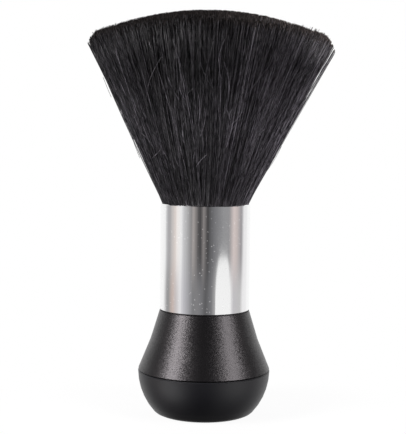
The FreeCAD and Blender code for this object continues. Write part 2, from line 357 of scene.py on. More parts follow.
paint("ballast_weight", grained("turned mild steel", "8d8c8a", 1.0, 0.35, 1.25 * MM))
zinc = grained("zinc-plated steel", "b9bcc0", 1.0, 0.28, 1.11 * MM)
paint("knot_screw", zinc)
paint("screw_washer", zinc)
paint("knot_plug", grained("moulded nylon, grey", "3a3a3c", 0.0, 0.5, 1.67 * MM))
paint("knot_resin", grained("cast epoxy, amber", "5b3d1c", 0.0, 0.25, 5.0 * MM))
print("Painted the inner parts")

# %% [markdown]
# ## The bristle material
# Black dyed bristle isn't quite black: each hair is a thin glossy rod that catches the light along
# one line, so a head of it looks like dark grey streaks with deep gaps between them. The dye takes
# differently from wisp to wisp, a little bluer or a little redder. A hair is drawn paler in the middle
# of its length than at root and tip, and pale glints are painted into its colour in short dashes. The
# cut tips, where bare fibre shows, are a matt dark brown.
#
# A hair shader with its own scattering would be truer for single hairs seen close, but it can't be
# stored in an image for export, so this is an ordinary surface. Every hair carries four numbers in a
# colour attribute on its mesh: its tone in red, how far along the hair a point lies in green, its hue
# in blue, and a number of its own in alpha.

# %% Tone along a hair
# How strongly a hair shines and how pale it is along its length, from root to tip
BRIGHTNESS_ALONG = [(0.0, 0.46), (0.2, 0.52), (0.5, 0.8), (0.8, 0.5), (1.0, 0.28)]
CUT_FROM = 0.985
# Glints are some 3 mm long, so there are 330 to the metre
GLINTS_PER_METRE = 330.0
OWN_PATTERNS = 90.0


def glints_along(tree, own_number):
    """Noise in dashes a few millimetres long, different on each hair: painted glints for the colour, and a
    stronger highlight in the same dashes.
    """
    place = add(tree, "TexCoord").outputs["Object"]
    own = add(tree, "Math", {0: own_number, 1: OWN_PATTERNS}, operation="MULTIPLY").outputs[0]
    # Painted glints: this noise makes pale dashes in the colour and stronger highlights there, not rougher
    # spots.
    rough = add(
        tree,
        "TexNoise",
        {"Vector": place, "W": own, "Scale": GLINTS_PER_METRE, "Detail": 2.0, "Roughness": 0.6},
        noise_dimensions="4D",
    )
    glint = add(
        tree,
        "MapRange",
        {"Value": rough.outputs["Fac"], "From Min": 0.38, "From Max": 0.7, "To Min": 0.28, "To Max": 2.9},
    )
    return glint.outputs["Result"]


# %% Colour and shine of the bristle
def bristle_colour(tree, tone, glint, along_brightness, cut):
    """Dyed fibre mixed with pale grey where the tone and the painted glints are high, drawn paler in the
    middle of its length, and bare fibre at the cut tip.
    """
    dyes = {"Factor": tone["Blue"], "A": linear("131417"), "B": linear("19151b")}
    dye = add(tree, "Mix", dyes, data_type="RGBA").outputs[2]
    light = add(tree, "Math", {0: tone["Red"], 1: glint}, operation="MULTIPLY").outputs[0]
    # The pale grey mixed in here is partly each hair's own tone and partly painted glints and painted light.
    lit = add(tree, "Mix", {"Factor": light, "A": dye, "B": linear("a09aa5")}, data_type="RGBA").outputs[2]
    dyed = add(tree, "VectorMath", {0: lit, 1: along_brightness}, operation="MULTIPLY").outputs[0]
    fibres = {"Factor": tone["Red"], "A": linear("090808"), "B": linear("6a615c")}
    fibre = add(tree, "Mix", fibres, data_type="RGBA").outputs[2]
    return add(tree, "Mix", {"Factor": cut, "A": dyed, "B": fibre}, data_type="RGBA").outputs[2]


def bristle_shine(tree, tone, glint, along_brightness, cut):
    """Strength of the highlight: more in the middle of the length, on redder hairs and on glints, and nearly
    none on the cut tip.
    """
    uncut = add(tree, "MapRange", {"Value": cut, "To Min": 0.55, "To Max": 0.05}).outputs["Result"]
    # Redder hairs lie mostly on the right, and their stronger highlight lightens that side of the head.
    redder_shine = add(tree, "MapRange", {"Value": tone["Blue"], "To Min": 0.75, "To Max": 1.9})
    sparkle = add(tree, "MapRange", {"Value": glint, "To Min": 0.3, "To Max": 1.0}, clamp=False)
    shine = along_brightness
    for factor in (redder_shine, sparkle):
        scaled = {0: shine, "Scale": factor.outputs["Result"]}
        shine = add(tree, "VectorMath", scaled, operation="SCALE").outputs[0]
    return add(tree, "Math", {0: uncut, 1: shine}, operation="MULTIPLY").outputs[0]


def dyed_bristle():
    material, tree = new_material("dyed black bristle")
    values = add(tree, "Attribute", attribute_name="tone").outputs
    tone = add(tree, "SeparateColor", {"Color": values["Color"]}).outputs
    glint = glints_along(tree, values["Alpha"])
    shares = [(along, (share, share, share, 1.0)) for along, share in BRIGHTNESS_ALONG]
    along_brightness = add(tree, "ValToRGB", {"Fac": tone["Green"]}, shares).outputs["Color"]
    cut = add(tree, "MapRange", {"Value": tone["Green"], "From Min": CUT_FROM, "From Max": 1.0}).outputs[0]
    gloss = add(tree, "MapRange", {"Value": cut, "To Min": 0.42, "To Max": 0.9})
    surface = add(
        tree,
        "BsdfPrincipled",
        {
            "Base Color": bristle_colour(tree, tone, glint, along_brightness, cut),
            "Roughness": gloss.outputs["Result"],
            "Specular IOR Level": bristle_shine(tree, tone, glint, along_brightness, cut),
            "IOR": 1.55,
        },
    )
    add(tree, "OutputMaterial", {"Surface": surface.outputs["BSDF"]})
    return material


bristle = dyed_bristle()
print("Made the bristle material")

# %% [markdown]
# ## Where the hairs run
# All hairs stand upright in the ferrule and fan out above it, so a hair's place in the mouth decides
# where its tip is: a hair at the edge of the mouth ends at the rim, and one in the middle ends at
# the crown. The fan is a straight cone and the trim is part of a sphere, so a tip is found where the
# one meets the other. The scissors went a little lower on one side, the dome is flatter from front to
# back, and at the rim the trim rounds off.

# %% The fan and the trim
RIM_ROUNDING = 2.6 * MM
FRONT_RISE = 0.7
TRIM_TILT = 0.0103

spread_at_rim = rim_radius / mouth_radius
trim_radius = (rim_radius**2 + DOME_RISE**2) / (2 * DOME_RISE)


def trim_height(tip):
    """Height of the trimmed surface over places given as x and y."""
    side, front = tip[:, 0], tip[:, 1]
    dome = crown_height - trim_radius + np.sqrt(trim_radius**2 - side**2 - FRONT_RISE * front**2)
    reach = np.minimum(np.hypot(side, front), rim_radius)
    rounding = RIM_ROUNDING * (0.25 + 0.75 * (side / rim_radius) ** 2)
    over = np.clip((reach - rim_radius + rounding) / rounding, 0, 1)
    return dome - rounding * (1 - np.sqrt(1 - over**2)) - TRIM_TILT * side


def spread_at(height):
    """How many times wider the head is at a height than in the mouth."""
    return 1 + (spread_at_rim - 1) * np.clip(height - lip_height, 0, None) / (rim_height - lip_height)


print(f"the head spreads {spread_at_rim:.2f} times, and its trim has a radius of {trim_radius / MM:.0f} mm")

# %% [markdown]
# ## Wisps
# Hair doesn't stand evenly. It clings together in wisps, which drift apart towards the tips and leave
# dark gaps between them. A hair particle system could clump hairs too, but it can't be placed from
# the frame or exported as it is. So the wisps are placed first, evenly over the mouth like the seeds
# of a sunflower, and each hair then belongs to a wisp.
#
# A wisp has its own drift, bow and wave, and the scissors cut it a little long or short. It also has
# a tone and a hue. Hairs on the right are redder, and they are drawn paler: painted light, which makes
# the right side of the head look more lit.

# %% Wisps
WISP_COUNT = 3400
WISP_DRIFT = 0.85 * MM
WISP_BOW = 0.3 * MM
WISP_WAVE = 0.25 * MM
WISP_MISCUT = 0.7 * MM
MEAN_MISCUT = -0.2 * MM
GOLDEN_TURN = math.pi * (3 - math.sqrt(5))


def painted_side_light(right):
    """Painted light: how much paler hairs are drawn from the left edge of the mouth, at -1, to the right
    edge, at 1.
    """
    return np.clip(0.78 + 1.6 * right + 3.6 * np.clip(right, 0, None) ** 2, 0.55, None)


def hue_at(rng, right):
    """Hues from the left to the right, from 0 for bluer dye to 1 for redder dye."""
    return np.clip(0.5 + 0.4 * right + rng.normal(0, 0.2, len(right)), 0, 1)


dice = np.random.default_rng(7)
seed_number = np.arange(WISP_COUNT)
wisp_share = np.sqrt((seed_number + 0.5) / WISP_COUNT)
wisp_angle = seed_number * GOLDEN_TURN
wisp_root = mouth_radius * wisp_share[:, None] * np.stack([np.cos(wisp_angle), np.sin(wisp_angle)], 1)
wisp_drift = dice.normal(0, WISP_DRIFT, (WISP_COUNT, 2))
wisp_bow = dice.normal(0, WISP_BOW, (WISP_COUNT, 2))
wisp_wave = dice.normal(0, WISP_WAVE, (WISP_COUNT, 2))
wisp_miscut = dice.normal(MEAN_MISCUT, WISP_MISCUT, WISP_COUNT)
wisp_right = wisp_root[:, 0] / mouth_radius
wisp_tone = dice.beta(0.7, 2.6, WISP_COUNT)
wisp_painted_light = painted_side_light(wisp_right)
wisp_hue = hue_at(dice, wisp_right)
print(WISP_COUNT, "wisps")

# %% [markdown]
# ## Hairs of a wisp
# A hair starts near its wisp's root and ends near its wisp's tip. Hairs on the outside are combed
# round the head rather than in or out of it, so their own small moves go mostly sideways. Near the
# rim they are held together a little, and the cut is most ragged there.

# %% Roots and tips
ROOT_SCATTER = 0.2 * MM
TIP_HOLD = rim_radius - 3.9 * MM
HELD_SHARE = 0.4
IN_AND_OUT = 0.35


def scattered_roots(rng, wisp):
    """Roots near the roots of these wisps, kept inside the mouth."""
    root = wisp_root[wisp] + rng.normal(0, ROOT_SCATTER, (len(wisp), 2))
    reach = np.linalg.norm(root, axis=1, keepdims=True)
    return root * np.minimum(1, 0.99 * mouth_radius / reach)


def tips_over(root, drift):
    """Where hairs from these roots end, moved by their drift and trimmed."""
    height = np.full(len(root), rim_height)
    for _ in range(6):
        tip = root * spread_at(height)[:, None]
        height = trim_height(tip)
    tip = tip + drift
    reach = np.linalg.norm(tip, axis=1)
    held = np.where(reach > TIP_HOLD, TIP_HOLD + HELD_SHARE * (reach - TIP_HOLD), reach)
    tip *= (held / reach)[:, None]
    return tip, trim_height(tip)


def sideways(rng, root, amount):
    """Small moves, mostly round the head and less in or out of it."""
    out = root / np.linalg.norm(root, axis=1, keepdims=True)
    round_it = out[:, ::-1] * np.array([-1, 1])
    along = rng.normal(0, amount, (len(root), 1)) * round_it
    return along + rng.normal(0, IN_AND_OUT * amount, (len(root), 1)) * out


def miscut(rng, wisp, tip):
    """How much each hair is longer than the trim, which for most hairs is less than 0."""
    at_rim = np.linalg.norm(tip, axis=1) / rim_radius
    ragged = 0.6 + 1.0 * at_rim**10
    own = np.minimum(rng.normal(-0.5, 0.8, len(wisp)), 0.6) * ragged * MM
    return own + wisp_miscut[wisp] * at_rim**6


# %% Lines of hairs
KINK = 0.12 * MM
WAVE_SHARE = 0.6


def crooked(rng, wisp, root, t, loose):
    """How far points along hairs lie off the straight line: bow, wave and kinks."""
    bow = wisp_bow[wisp][:, None] * np.sin(math.pi * t) + wisp_wave[wisp][:, None] * np.sin(math.tau * t)
    wave = np.sin(math.tau * t + rng.uniform(0, 6, (len(wisp), 1, 1))) * t
    bow = bow + sideways(rng, root, WAVE_SHARE * loose)[:, None] * wave
    return bow + rng.normal(0, KINK, (len(wisp), t.size, 2)) * np.sin(math.pi * t)


def hair_lines(rng, wisp, points, loose):
    """Centre lines of hairs, one for each wisp number. Loose ones stray further from their wisp."""
    root = scattered_roots(rng, wisp)
    tip, tip_height = tips_over(root, wisp_drift[wisp] + sideways(rng, root, loose))
    tip_height += miscut(rng, wisp, tip)
    t = np.linspace(0, 1, points - 1)[None, :, None]
    lines = np.empty((len(wisp), points, 3))
    lines[:, 0, :2] = root
    lines[:, 0, 2] = root_height
    lines[:, 1:, :2] = root[:, None] * (1 - t) + tip[:, None] * t + crooked(rng, wisp, root, t, loose)
    lines[:, 1:, 2] = lip_height + (tip_height - lip_height)[:, None] * t[..., 0]
    return lines


# %% Lean
LEAN = 1.3


def lean(lines):
    """Tilts the head a little to one side, as a used brush takes a set."""
    up = np.clip(lines[..., 2] - lip_height, 0, None)
    lines[..., 0] += up * math.tan(math.radians(LEAN))
    return lines


# %% [markdown]
# ## From lines to hairs
# Each line becomes a thin tube with three sides, blunt at the tip where the scissors cut it. Three
# sides are enough: a hair is hardly wider than a dot in any full view, and smooth shading rounds it.
# Blender's curves would do as well, but a mesh carries its colours and its UV map into any export.
# Real hair of this kind is under 0.1 mm thick and there are over a hundred thousand; these are 0.17
# to 0.25 mm and about 50,000, which covers the head in the same way.

# %% Corners and faces of the tubes
SIDES = 3
NEVER_ON_AXIS = 1e-6


def tube_corners(lines, thickness):
    """Corner points of the tubes: hair, point along the hair, side, and x, y, z."""
    along = np.gradient(lines, axis=1)
    along /= np.linalg.norm(along, axis=2, keepdims=True)
    out = lines * np.array([1, 1, 0])
    out[..., 0] += NEVER_ON_AXIS
    across = np.cross(along, out)
    across /= np.linalg.norm(across, axis=2, keepdims=True) + 1e-12
    outward = np.cross(across, along)
    turn = np.arange(SIDES) / SIDES * math.tau
    ring = (
        across[:, :, None] * np.cos(turn)[None, None, :, None]
        + outward[:, :, None] * np.sin(turn)[None, None, :, None]
    )
    return lines[:, :, None] + ring * thickness[:, :, None, None]


def tube_faces(hairs, points):
    """Corner numbers of the side faces, four to a face, and of the tip faces, three to a face."""
    hair = np.arange(hairs)[:, None, None] * points * SIDES
    level = np.arange(points - 1)[None, :, None] * SIDES
    side = np.arange(SIDES)[None, None, :]
    after = (side + 1) % SIDES
    base = hair + level
    quads = np.stack([base + side, base + after, base + after + SIDES, base + side + SIDES], -1)
    tips = hair[:, 0, 0][:, None] + (points - 1) * SIDES + np.arange(SIDES)[None, :]
    return quads.reshape(-1, 4), tips


# %% The mesh of the tubes
def tube_mesh(name, corners, quads, tips):
    """A mesh with smooth sides and flat tips, filled from arrays, which is fast for many hairs."""
    loops = np.concatenate([quads.ravel(), tips.ravel()])
    sizes = np.concatenate([np.full(len(quads), 4), np.full(len(tips), 3)])
    starts = np.concatenate([[0], np.cumsum(sizes)[:-1]])
    mesh = bpy.data.meshes.new(name)
    mesh.vertices.add(len(corners))
    mesh.vertices.foreach_set("co", corners.astype(np.float32).ravel())
    mesh.loops.add(len(loops))
    mesh.loops.foreach_set("vertex_index", loops.astype(np.int32))
    mesh.polygons.add(len(sizes))
    mesh.polygons.foreach_set("loop_start", starts.astype(np.int32))
    mesh.polygons.foreach_set("use_smooth", np.repeat([True, False], [len(quads), len(tips)]))
    return mesh


# %% [markdown]
# ## A UV map and tones for the hairs
# Each hair gets its own small cell in a UV map, so that its colours can be stored in an image when
# the model is exported. Unwrapping this many tubes by hand or by Blender's own tool would take far
# longer, and a cell for each hair wastes little of the image.

# %% UV cells
CELL_TALLER = 8


def hair_uv(hairs, points):
    """A cell of the UV map for each hair: side faces run up the cell, and the tip is its top edge."""
    columns = int(math.ceil(math.sqrt(hairs * CELL_TALLER)))
    rows = int(math.ceil(hairs / columns))
    number = np.arange(hairs)
    left = (number % columns + 0.1) / columns
    low = (number // columns + 0.05) / rows
    width = 0.8 / columns
    height = 0.9 / rows
    side = np.arange(SIDES)[None, None, :]
    level = np.arange(points - 1)[None, :, None]
    u0, v0, u1, v1 = np.broadcast_arrays(
        left[:, None, None] + width * side / SIDES,
        low[:, None, None] + height * level / (points - 1),
        left[:, None, None] + width * (side + 1) / SIDES,
        low[:, None, None] + height * (level + 1) / (points - 1),
    )
    quads = np.stack([u0, v0, u1, v0, u1, v1, u0, v1], -1).reshape(-1, 2)
    top = low + height
    tips = np.stack([left, top, left + width, top, left + width / 2, low + height * 0.98], -1)
    return np.concatenate([quads, tips.reshape(-1, 2)])


# %% Tones and whole pieces of hair
GLINT_SPREAD = 0.3


def store_tones(mesh, points, tone, hue):
    """Writes each hair's tone, place along it, hue and own number into the colour attribute."""
    hairs = len(tone)
    chance = np.random.default_rng(hairs)
    # The tone changes at random from point to point along each hair: painted glints.
    painted_glints = np.clip(chance.normal(1, GLINT_SPREAD, (hairs, points, 1)), 0.1, None)
    values = np.ones((hairs, points, SIDES, 4))
    values[..., 0] = tone[:, None, None] * painted_glints
    values[..., 1] = np.linspace(0, 1, points)[None, :, None]
    values[..., 2] = hue[:, None, None]
    values[..., 3] = chance.random((hairs, 1, 1))
    colours = mesh.color_attributes.new("tone", "FLOAT_COLOR", "POINT")
    colours.data.foreach_set("color", values.astype(np.float32).ravel())


def hair_piece(name, lines, thickness, tone, hue):
    """A mesh object of hairs, one for each line."""
    hairs, points = lines.shape[:2]
    corners = tube_corners(lines, thickness).reshape(-1, 3)
    mesh = tube_mesh(name, corners, *tube_faces(hairs, points))
    uv_map = mesh.uv_layers.new(name="OFBake")
    uv_map.uv.foreach_set("vector", hair_uv(hairs, points).astype(np.float32).ravel())
    store_tones(mesh, points, tone, hue)
    mesh.update(calc_edges=True)
    mesh.validate()
    mesh.materials.append(bristle)
    piece = bpy.data.objects.new(name, mesh)
    bpy.context.scene.collection.objects.link(piece)
    return piece


# %% [markdown]
# ## The head, layer by layer
# The CAD model holds the head as a core and four rings of locks. Each of them is replaced by hairs
# whose wisps stand in the same band of the mouth. Only the tips of the inner hairs show, so they
# need few points. The outer ring is what one sees, so it comes in four layers: the further out a
# layer is, the finer and looser its hairs are, and the more points they need to bend.

# %% Layers
# Name, CAD node, band of the mouth, hairs, points along a hair, hair radius, and how far tips stray
LAYERS = [
    ("core_hairs", "bristle_core", 0.0, 0.16, 1200, 4, 0.125 * MM, 0.5 * MM),
    ("inner_hairs", "bristle_ring_inner", 0.16, 0.37, 5200, 4, 0.125 * MM, 0.5 * MM),
    ("second_hairs", "bristle_ring_second", 0.37, 0.58, 9000, 4, 0.125 * MM, 0.5 * MM),
    ("third_hairs", "bristle_ring_third", 0.58, 0.79, 10400, 4, 0.125 * MM, 0.5 * MM),
    ("outer_hairs", "bristle_ring_outer", 0.79, 0.95, 6400, 6, 0.125 * MM, 0.5 * MM),
    ("surface_hairs", "bristle_ring_outer", 0.9, 0.985, 5400, 7, 0.12 * MM, 0.8 * MM),
    ("cover_hairs", "bristle_ring_outer", 0.93, 0.985, 4600, 8, 0.1 * MM, 1.5 * MM),
    ("top_hairs", "bristle_ring_outer", 0.95, 0.985, 4600, 8, 0.085 * MM, 2.4 * MM),
]
TAPER = 0.85
WISP_SHARE_OF_TONE = 0.2
HAIR_SHARE_OF_TONE = 0.5


def dress(piece, node):
    """Ties hairs to the frame in place of their CAD node."""
    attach(piece, "root")
    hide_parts(node, "bristle_roots")


# %% Build the layers
for number, (name, node, low, high, count, points, radius, loose) in enumerate(LAYERS):
    rng = np.random.default_rng(100 + number)
    members = np.flatnonzero((wisp_share >= low) & (wisp_share <= high))
    wisp = rng.choice(members, count)
    lines = lean(hair_lines(rng, wisp, points, loose))
    thickness = radius * rng.uniform(0.8, 1.2, (count, 1)) * np.linspace(1, TAPER, points)[None, :]
    own_tone = rng.beta(0.6, 3.8, count)
    # The tone of hairs on the right is raised: painted light.
    tone = wisp_painted_light[wisp] * (WISP_SHARE_OF_TONE * wisp_tone[wisp] + HAIR_SHARE_OF_TONE * own_tone)
    piece = hair_piece(name, lines, thickness, tone, wisp_hue[wisp])
    dress(piece, node)
    print(name, "has", count, "hairs and", len(piece.data.polygons), "faces")

# %% [markdown]
# ## Loose hairs
# Outside the dense mass stand thin single hairs, in small groups with gaps between them. They make
# the outline of the head ragged, so that light shows through it. Each group has its own place round
# the head and its own reach, and its hairs differ a little from each other.

# %% Lines of loose hairs
LOOSE_GROUPS = 420
LOOSE_COUNT = 3200
LOOSE_POINTS = 7
LOOSE_REACH = rim_radius - 2.3 * MM
LOOSE_LIMIT = rim_radius + 0.3 * MM


def loose_lines(rng):
    """Lines of single hairs on the outside of the head, in groups that share a place and a reach."""
    group = rng.integers(0, LOOSE_GROUPS, LOOSE_COUNT)
    group_turn = rng.uniform(0, math.tau, LOOSE_GROUPS)
    group_reach = rng.normal(0, 1.0 * MM, LOOSE_GROUPS)
    group_swing = rng.normal(0, 0.02, LOOSE_GROUPS)
    turn = group_turn[group] + rng.normal(0, 0.02, LOOSE_COUNT)
    short_by = np.abs(rng.normal(0, 1.1 * MM, LOOSE_COUNT)) - 0.4 * MM
    reach = LOOSE_REACH + group_reach[group] + rng.normal(0, 0.6 * MM, LOOSE_COUNT)
    reach = np.minimum(reach, LOOSE_LIMIT)
    root = mouth_radius * rng.uniform(0.95, 1.0, LOOSE_COUNT)
    t = np.linspace(0, 1, LOOSE_POINTS)[None, :]
    swing = group_swing[group] + rng.normal(0, 0.012, LOOSE_COUNT)
    around = turn[:, None] + swing[:, None] * t
    end = reach[:, None] * np.stack([np.cos(around[:, -1]), np.sin(around[:, -1])], 1)
    end_height = (trim_height(end) - short_by)[:, None]
    height = lip_height + (end_height - lip_height) * t
    hollow = rng.normal(-0.5, 0.4, (LOOSE_COUNT, 1)) * MM * np.sin(math.pi * t)
    out = root[:, None] * (1 - t) + reach[:, None] * t + hollow
    return np.stack([out * np.cos(around), out * np.sin(around), height], 2)


# %% Build the loose hairs
LOOSE_RADIUS = 0.105 * MM

rng = np.random.default_rng(200)
loose = lean(loose_lines(rng))
loose_right = loose[:, 0, 0] / mouth_radius
# Loose hairs on the right get the same painted light.
loose_tone = painted_side_light(loose_right) * rng.beta(0.8, 6.0, LOOSE_COUNT)
loose_hue = hue_at(rng, loose_right)
loose_thickness = np.full((LOOSE_COUNT, LOOSE_POINTS), LOOSE_RADIUS)
dress(hair_piece("loose_hairs", loose, loose_thickness, loose_tone, loose_hue), "bristle_ring_outer")
print(LOOSE_COUNT, "loose hairs")

# %% [markdown]
# ## Stray hairs
# A used duster never lies quite smooth. Some hairs run askew across the others on the outside of the
# head, a few fly off it, and short ones are caught in it. The short ones are given a higher tone, so
# they are drawn paler: painted light.

# %% Lines of stray hairs
STRAY_COUNT = 240
STRAY_POINTS = 9
SHORT_SHARE = 0.5
FLYING_SHARE = 0.12


def stray_lines(rng, count):
    """Lines on the outside of the head. Half of them run its full height, the rest are short."""
    short = rng.random(count) < SHORT_SHARE
    start = np.where(short, rng.uniform(0.15, 0.75, count), 0.0)
    end = np.where(short, start + rng.uniform(0.08, 0.3, count), rng.uniform(0.9, 1.0, count))
    turn = rng.uniform(0, math.tau, count)
    swing = np.where(short, rng.normal(0, 0.1, count), rng.normal(0, 0.12, count))
    t = np.linspace(0, 1, STRAY_POINTS)[None, :]
    up = start[:, None] + (end - start)[:, None] * t
    curl = rng.normal(0, 0.04, (count, 1)) * np.sin(math.pi * t)
    around = turn[:, None] + swing[:, None] * t + curl
    height = lip_height + up * (rim_height - lip_height)
    flying = rng.random(count) < FLYING_SHARE
    off = np.where(short, 0.5, rng.uniform(-0.2, 1.0, count))
    off = off + np.where(flying, rng.uniform(1, 3, count), 0)
    off = off[:, None] * MM * np.sin(math.pi * up)
    radius = 0.985 * mouth_radius * spread_at(height) + off
    return np.stack([radius * np.cos(around), radius * np.sin(around), height], 2)


# %% Build the stray hairs
STRAY_RADIUS = 0.1 * MM
# Tone of short and long strays; the higher tone of the short ones is painted light.
SHORT_BRIGHTNESS = 1.1
LONG_BRIGHTNESS = 0.45

rng = np.random.default_rng(300)
strays = lean(stray_lines(rng, STRAY_COUNT))
stray_thickness = np.full((STRAY_COUNT, STRAY_POINTS), STRAY_RADIUS)
starts_on_head = strays[:, 0, 2] > lip_height + 1 * MM
stray_tone = np.where(starts_on_head, SHORT_BRIGHTNESS, LONG_BRIGHTNESS) * rng.beta(0.7, 2.0, STRAY_COUNT)
stray_hue = rng.random(STRAY_COUNT)
dress(hair_piece("stray_hairs", strays, stray_thickness, stray_tone, stray_hue), "bristle_ring_outer")
print(STRAY_COUNT, "stray hairs")

# %% [markdown]
# ## The floor
# The brush stands on white card, which takes its soft shadow. Further out the card has to melt into
# the white backdrop, so for the rays that the camera sends out it is mixed with a plain glow of
# strength 1, a little less near the brush and wholly further out, and its edge can't be seen. A big
# sheet would melt away by itself, but its long low reflection would fill the ferrule. For the light
# that bounces off it, the card is a mid grey: painted shade, so that it throws less light up at the
# base. Mirror rays pass through it and reach the low cards of the studio, which are described below.

# %% White card
SHADOW_REACH = 0.075
NEAR_GLOW = 0.93


def white_card():
    """White card in its own light near the middle, and a plain glow further out."""
    material, tree = new_material("white card")
    place = add(tree, "TexCoord").outputs["Object"]
    distance = add(tree, "VectorMath", {0: place}, operation="LENGTH").outputs["Value"]
    outward = {
        "Value": distance,
        "From Min": SHADOW_REACH * 0.6,
        "From Max": SHADOW_REACH * 1.3,
        "To Min": NEAR_GLOW,
        "To Max": 1.0,
    }
    far = add(tree, "MapRange", outward, interpolation_type="SMOOTHSTEP").outputs["Result"]
    rays = add(tree, "LightPath").outputs
    glowing = add(tree, "Math", {0: far, 1: rays["Is Camera Ray"]}, operation="MULTIPLY").outputs[0]
    # Mid grey for bounced light is painted shade; white for the camera.
    colours = {"Factor": rays["Is Camera Ray"], "A": linear("808080"), "B": linear("f6f6f6")}
    colour = add(tree, "Mix", colours, data_type="RGBA").outputs[2]
    card = add(tree, "BsdfDiffuse", {"Color": colour}).outputs["BSDF"]
    glow = add(tree, "Emission", {"Strength": 1.0}).outputs["Emission"]
    sheet = add(tree, "MixShader", {"Fac": glowing, 1: card, 2: glow}).outputs["Shader"]
    mirror_rays = {0: rays["Is Glossy Ray"], 1: rays["Is Transmission Ray"]}
    mirrored = add(tree, "Math", mirror_rays, operation="MAXIMUM").outputs[0]
    clear = add(tree, "BsdfTransparent").outputs["BSDF"]
    surface = add(tree, "MixShader", {"Fac": mirrored, 1: sheet, 2: clear}).outputs["Shader"]
    add(tree, "OutputMaterial", {"Surface": surface})
    return material


# %% Floor
FLOOR_RADIUS = 0.2
FLOOR_EDGES = 96


def disc(name, radius, edges):
    """A flat round sheet."""
    turn = [math.tau * number / edges for number in range(edges)]
    mesh = bpy.data.meshes.new(name)
    mesh.from_pydata([(radius * math.cos(t), radius * math.sin(t), 0) for t in turn], [], [range(edges)])
    piece = bpy.data.objects.new(name, mesh)
    bpy.context.scene.collection.objects.link(piece)
    return piece


floor = disc("floor", FLOOR_RADIUS, FLOOR_EDGES)
floor.data.materials.append(white_card())
print("Laid the floor")

# %% [markdown]
# ## Lamps
# Two tall softboxes stand at the sides of the camera, as a product studio would have them: they show
# the fleck of the shell and the sheen of the hair from both sides. A third, large and weak, hangs
# above and behind and draws a thin edge of light round the head.

# %% Softboxes
AIM = (0, 0, 0.08)
LAMP_WHITE = (1.0, 0.97, 0.99)


def softbox(name, azimuth, distance, height, size, power, colour=(1, 1, 1)):
    """A rectangular lamp that faces the brush. Azimuth is 0 at the camera and grows to the right."""
    lamp = bpy.data.lights.new(name, "AREA")
    lamp.shape = "RECTANGLE"
    lamp.size, lamp.size_y = size
    lamp.energy = power
    lamp.color = colour
    box = bpy.data.objects.new(name, lamp)
    around = math.radians(azimuth)
    box.location = (distance * math.sin(around), -distance * math.cos(around), height)
    aim = Vector(AIM) - box.location
    box.rotation_euler = aim.to_track_quat("-Z", "Y").to_euler()
    bpy.context.scene.collection.objects.link(box)
    return box


softbox("softbox left", -60, 0.8, 0.46, (0.3, 0.7), 10.4, LAMP_WHITE)
softbox("softbox right", 57, 0.8, 0.46, (0.42, 0.7), 7.3, LAMP_WHITE)
softbox("softbox above", 180, 0.3, 1.2, (0.8, 0.8), 2.5)
print("Set up three softboxes")

# %% [markdown]
# ## The studio round the brush
# A polished tube shows whatever stands round it, so the studio is laid out for its reflections. The
# wall behind the brush is white, the space round the camera is dark, and between them stand pale and
# warm cards that the ferrule shows as upright bands. Real cards could be built as sheets, but each
# would also throw shadows and light the hair. So they are painted on the world, as colours round the
# horizon: azimuth is 0 at the camera, grows to the right, and is 180 degrees straight behind.

# %% Directions
world = bpy.data.worlds.new("studio")
world.use_nodes = True
bpy.context.scene.world = world
studio = world.node_tree
studio.nodes.clear()

direction = add(studio, "TexCoord").outputs["Generated"]
axes = add(studio, "SeparateXYZ", {"Vector": direction}).outputs
ahead = add(studio, "Math", {0: axes["Y"], 1: -1.0}, operation="MULTIPLY").outputs[0]
azimuth = add(studio, "Math", {0: axes["X"], 1: ahead}, operation="ARCTAN2").outputs[0]
whole_turn = {"Value": azimuth, "From Min": -math.pi, "From Max": math.pi}
turned = add(studio, "MapRange", whole_turn).outputs["Result"]

# %% Cards at the height of the ferrule
# Azimuth in degrees and the colour there
WALLS = [
    (-180, "ffffff"),
    (-124, "fafafa"),
    (-116, "cfcfd0"),
    (-110, "b4b3b5"),
    (-101, "b0aeaf"),
    (-95, "c6c2c1"),
    (-82, "e2d8d3"),
    (-77, "f6f0ed"),
    (-64, "f4f4f4"),
    (-57, "cfcfd1"),
    (-48, "bababb"),
    (-36, "8f8d8e"),
    (-30, "aaa4a2"),
    (-18, "5c5a5b"),
    (-11, "494849"),
    (-4, "8f8a89"),
    (1, "6e6b6b"),
    (6, "434243"),
    (12, "5e5e60"),
    (22, "757578"),
    (48, "959597"),
    (63, "979698"),
    (78, "d8cbc8"),
    (87, "cdc1be"),
    (97, "b4aeaf"),
    (105, "9d9a9d"),
    (117, "f0eff0"),
    (180, "ffffff"),
]

# %% The same, lower down
# Here the tabletop is in the way and mirrors the cards softly
LOW_WALLS = [
    (-180, "ffffff"),
    (-130, "f9f9f9"),
    (-114, "a5a4a5"),
    (-107, "9b9b9b"),
    (-90, "cdbcb5"),
    (-78, "d0caca"),
    (-66, "eae9eb"),
    (-56, "c6c5ca"),
    (-30, "818183"),
    (-18, "858486"),
    (-11, "7d7d80"),
    (2, "606062"),
    (16, "7b7b7e"),
    (25, "a8a7a8"),
    (33, "f2f2f2"),
    (67, "ffffff"),
    (78, "c9c7ca"),
    (102, "c7c6c6"),
    (114, "f2f1f2"),
    (180, "ffffff"),
]

# %% Walls all the way round
def wall_stops(walls):
    """Stops of a colour ramp that runs once round the room."""
    return [((angle + 180) / 360, linear(colour)) for angle, colour in walls]


